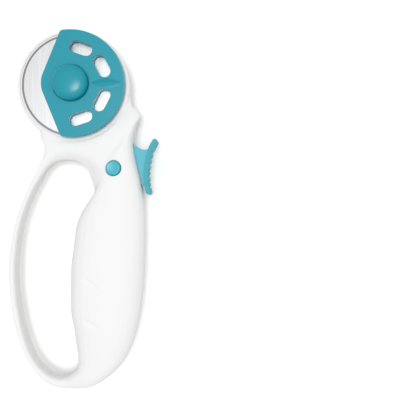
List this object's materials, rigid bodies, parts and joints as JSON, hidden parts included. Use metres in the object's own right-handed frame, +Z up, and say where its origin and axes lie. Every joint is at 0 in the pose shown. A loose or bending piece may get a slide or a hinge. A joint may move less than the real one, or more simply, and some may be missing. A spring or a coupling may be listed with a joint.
{
  "type": "rotary cutter",
  "caption": "Handheld rotary cutter with a closed finger loop, a thumb lever that slides a round blade out of its guard, a blade shield under a domed nut, and a lock button.",
  "frame": {"origin": "centre of the outline's box, on the surface that the cutter lies on, rear side down", "axes": "+Y along the handle towards the blade, +X towards the thumb lever, +Z up out of the face that carries the blade"},
  "size_m": [0.088, 0.2126, 0.028],
  "materials": {
    "white_shell": "satin moulded ABS",
    "steel": "turned",
    "acetal": "moulded acetal",
    "blade_steel": "ground and polished tool steel",
    "teal_shield": "satin moulded ABS",
    "spring_steel": "drawn wire",
    "teal_nut": "gloss moulded ABS",
    "brass": "turned",
    "teal_lever": "satin moulded ABS",
    "teal_pad": "moulded soft grip",
    "teal_button": "satin moulded ABS"
  },
  "bodies": {
    "handle": {"front_shell": "white_shell", "rear_shell": "white_shell", "shell_dowels": "steel", "lever_pivot_pin": "steel", "lever_spring": "spring_steel", "lock_spring": "spring_steel", "lock_guide": "acetal"},
    "carriage": {"blade_carriage": "acetal", "blade_bolt": "steel", "backing_washer": "steel", "blade_shield": "teal_shield", "wave_washer": "spring_steel"},
    "blade_disc": {"blade": "blade_steel"},
    "nut": {"nut_cap": "teal_nut", "nut_insert": "brass"},
    "lever": {"thumb_lever": "teal_lever", "thumb_pad": "teal_pad", "drive_pin": "steel"},
    "lock": {"lock_button": "teal_button", "lock_pin": "steel"}
  },
  "joints": [
    {"name": "lever_press", "type": "hinge", "parent": "handle", "child": "lever", "pos_m": [0.02904, 0.01055, 0.01284], "axis": [0, 0, 1], "range_deg": [0, 11], "stiffness_Nm_per_rad": 1.2, "springref_deg": -8.59, "deforming": ["lever_spring"]},
    {"name": "carriage_slide", "type": "slide", "parent": "handle", "child": "carriage", "axis": [-1, 0, 0], "range_m": [0, 0.0066]},
    {"name": "blade_spin", "type": "hinge", "parent": "carriage", "child": "blade_disc", "pos_m": [-0.00536, 0.07325, 0.01769], "axis": [0, 0, 1], "continuous": true},
    {"name": "nut_turn", "type": "hinge", "parent": "carriage", "child": "nut", "pos_m": [-0.00536, 0.07325, 0.02284], "axis": [0, 0, 1], "continuous": true},
    {"name": "lock_push", "type": "slide", "parent": "handle", "child": "lock", "axis": [0, 0, -1], "range_m": [0, 0.002], "stiffness_N_per_m": 500, "springref_m": -0.002, "deforming": ["lock_spring"]}
  ],
  "couplings": [
    {"joint": "carriage_slide", "follows": "lever_press", "m_per_rad": 0.03392}
  ]
}
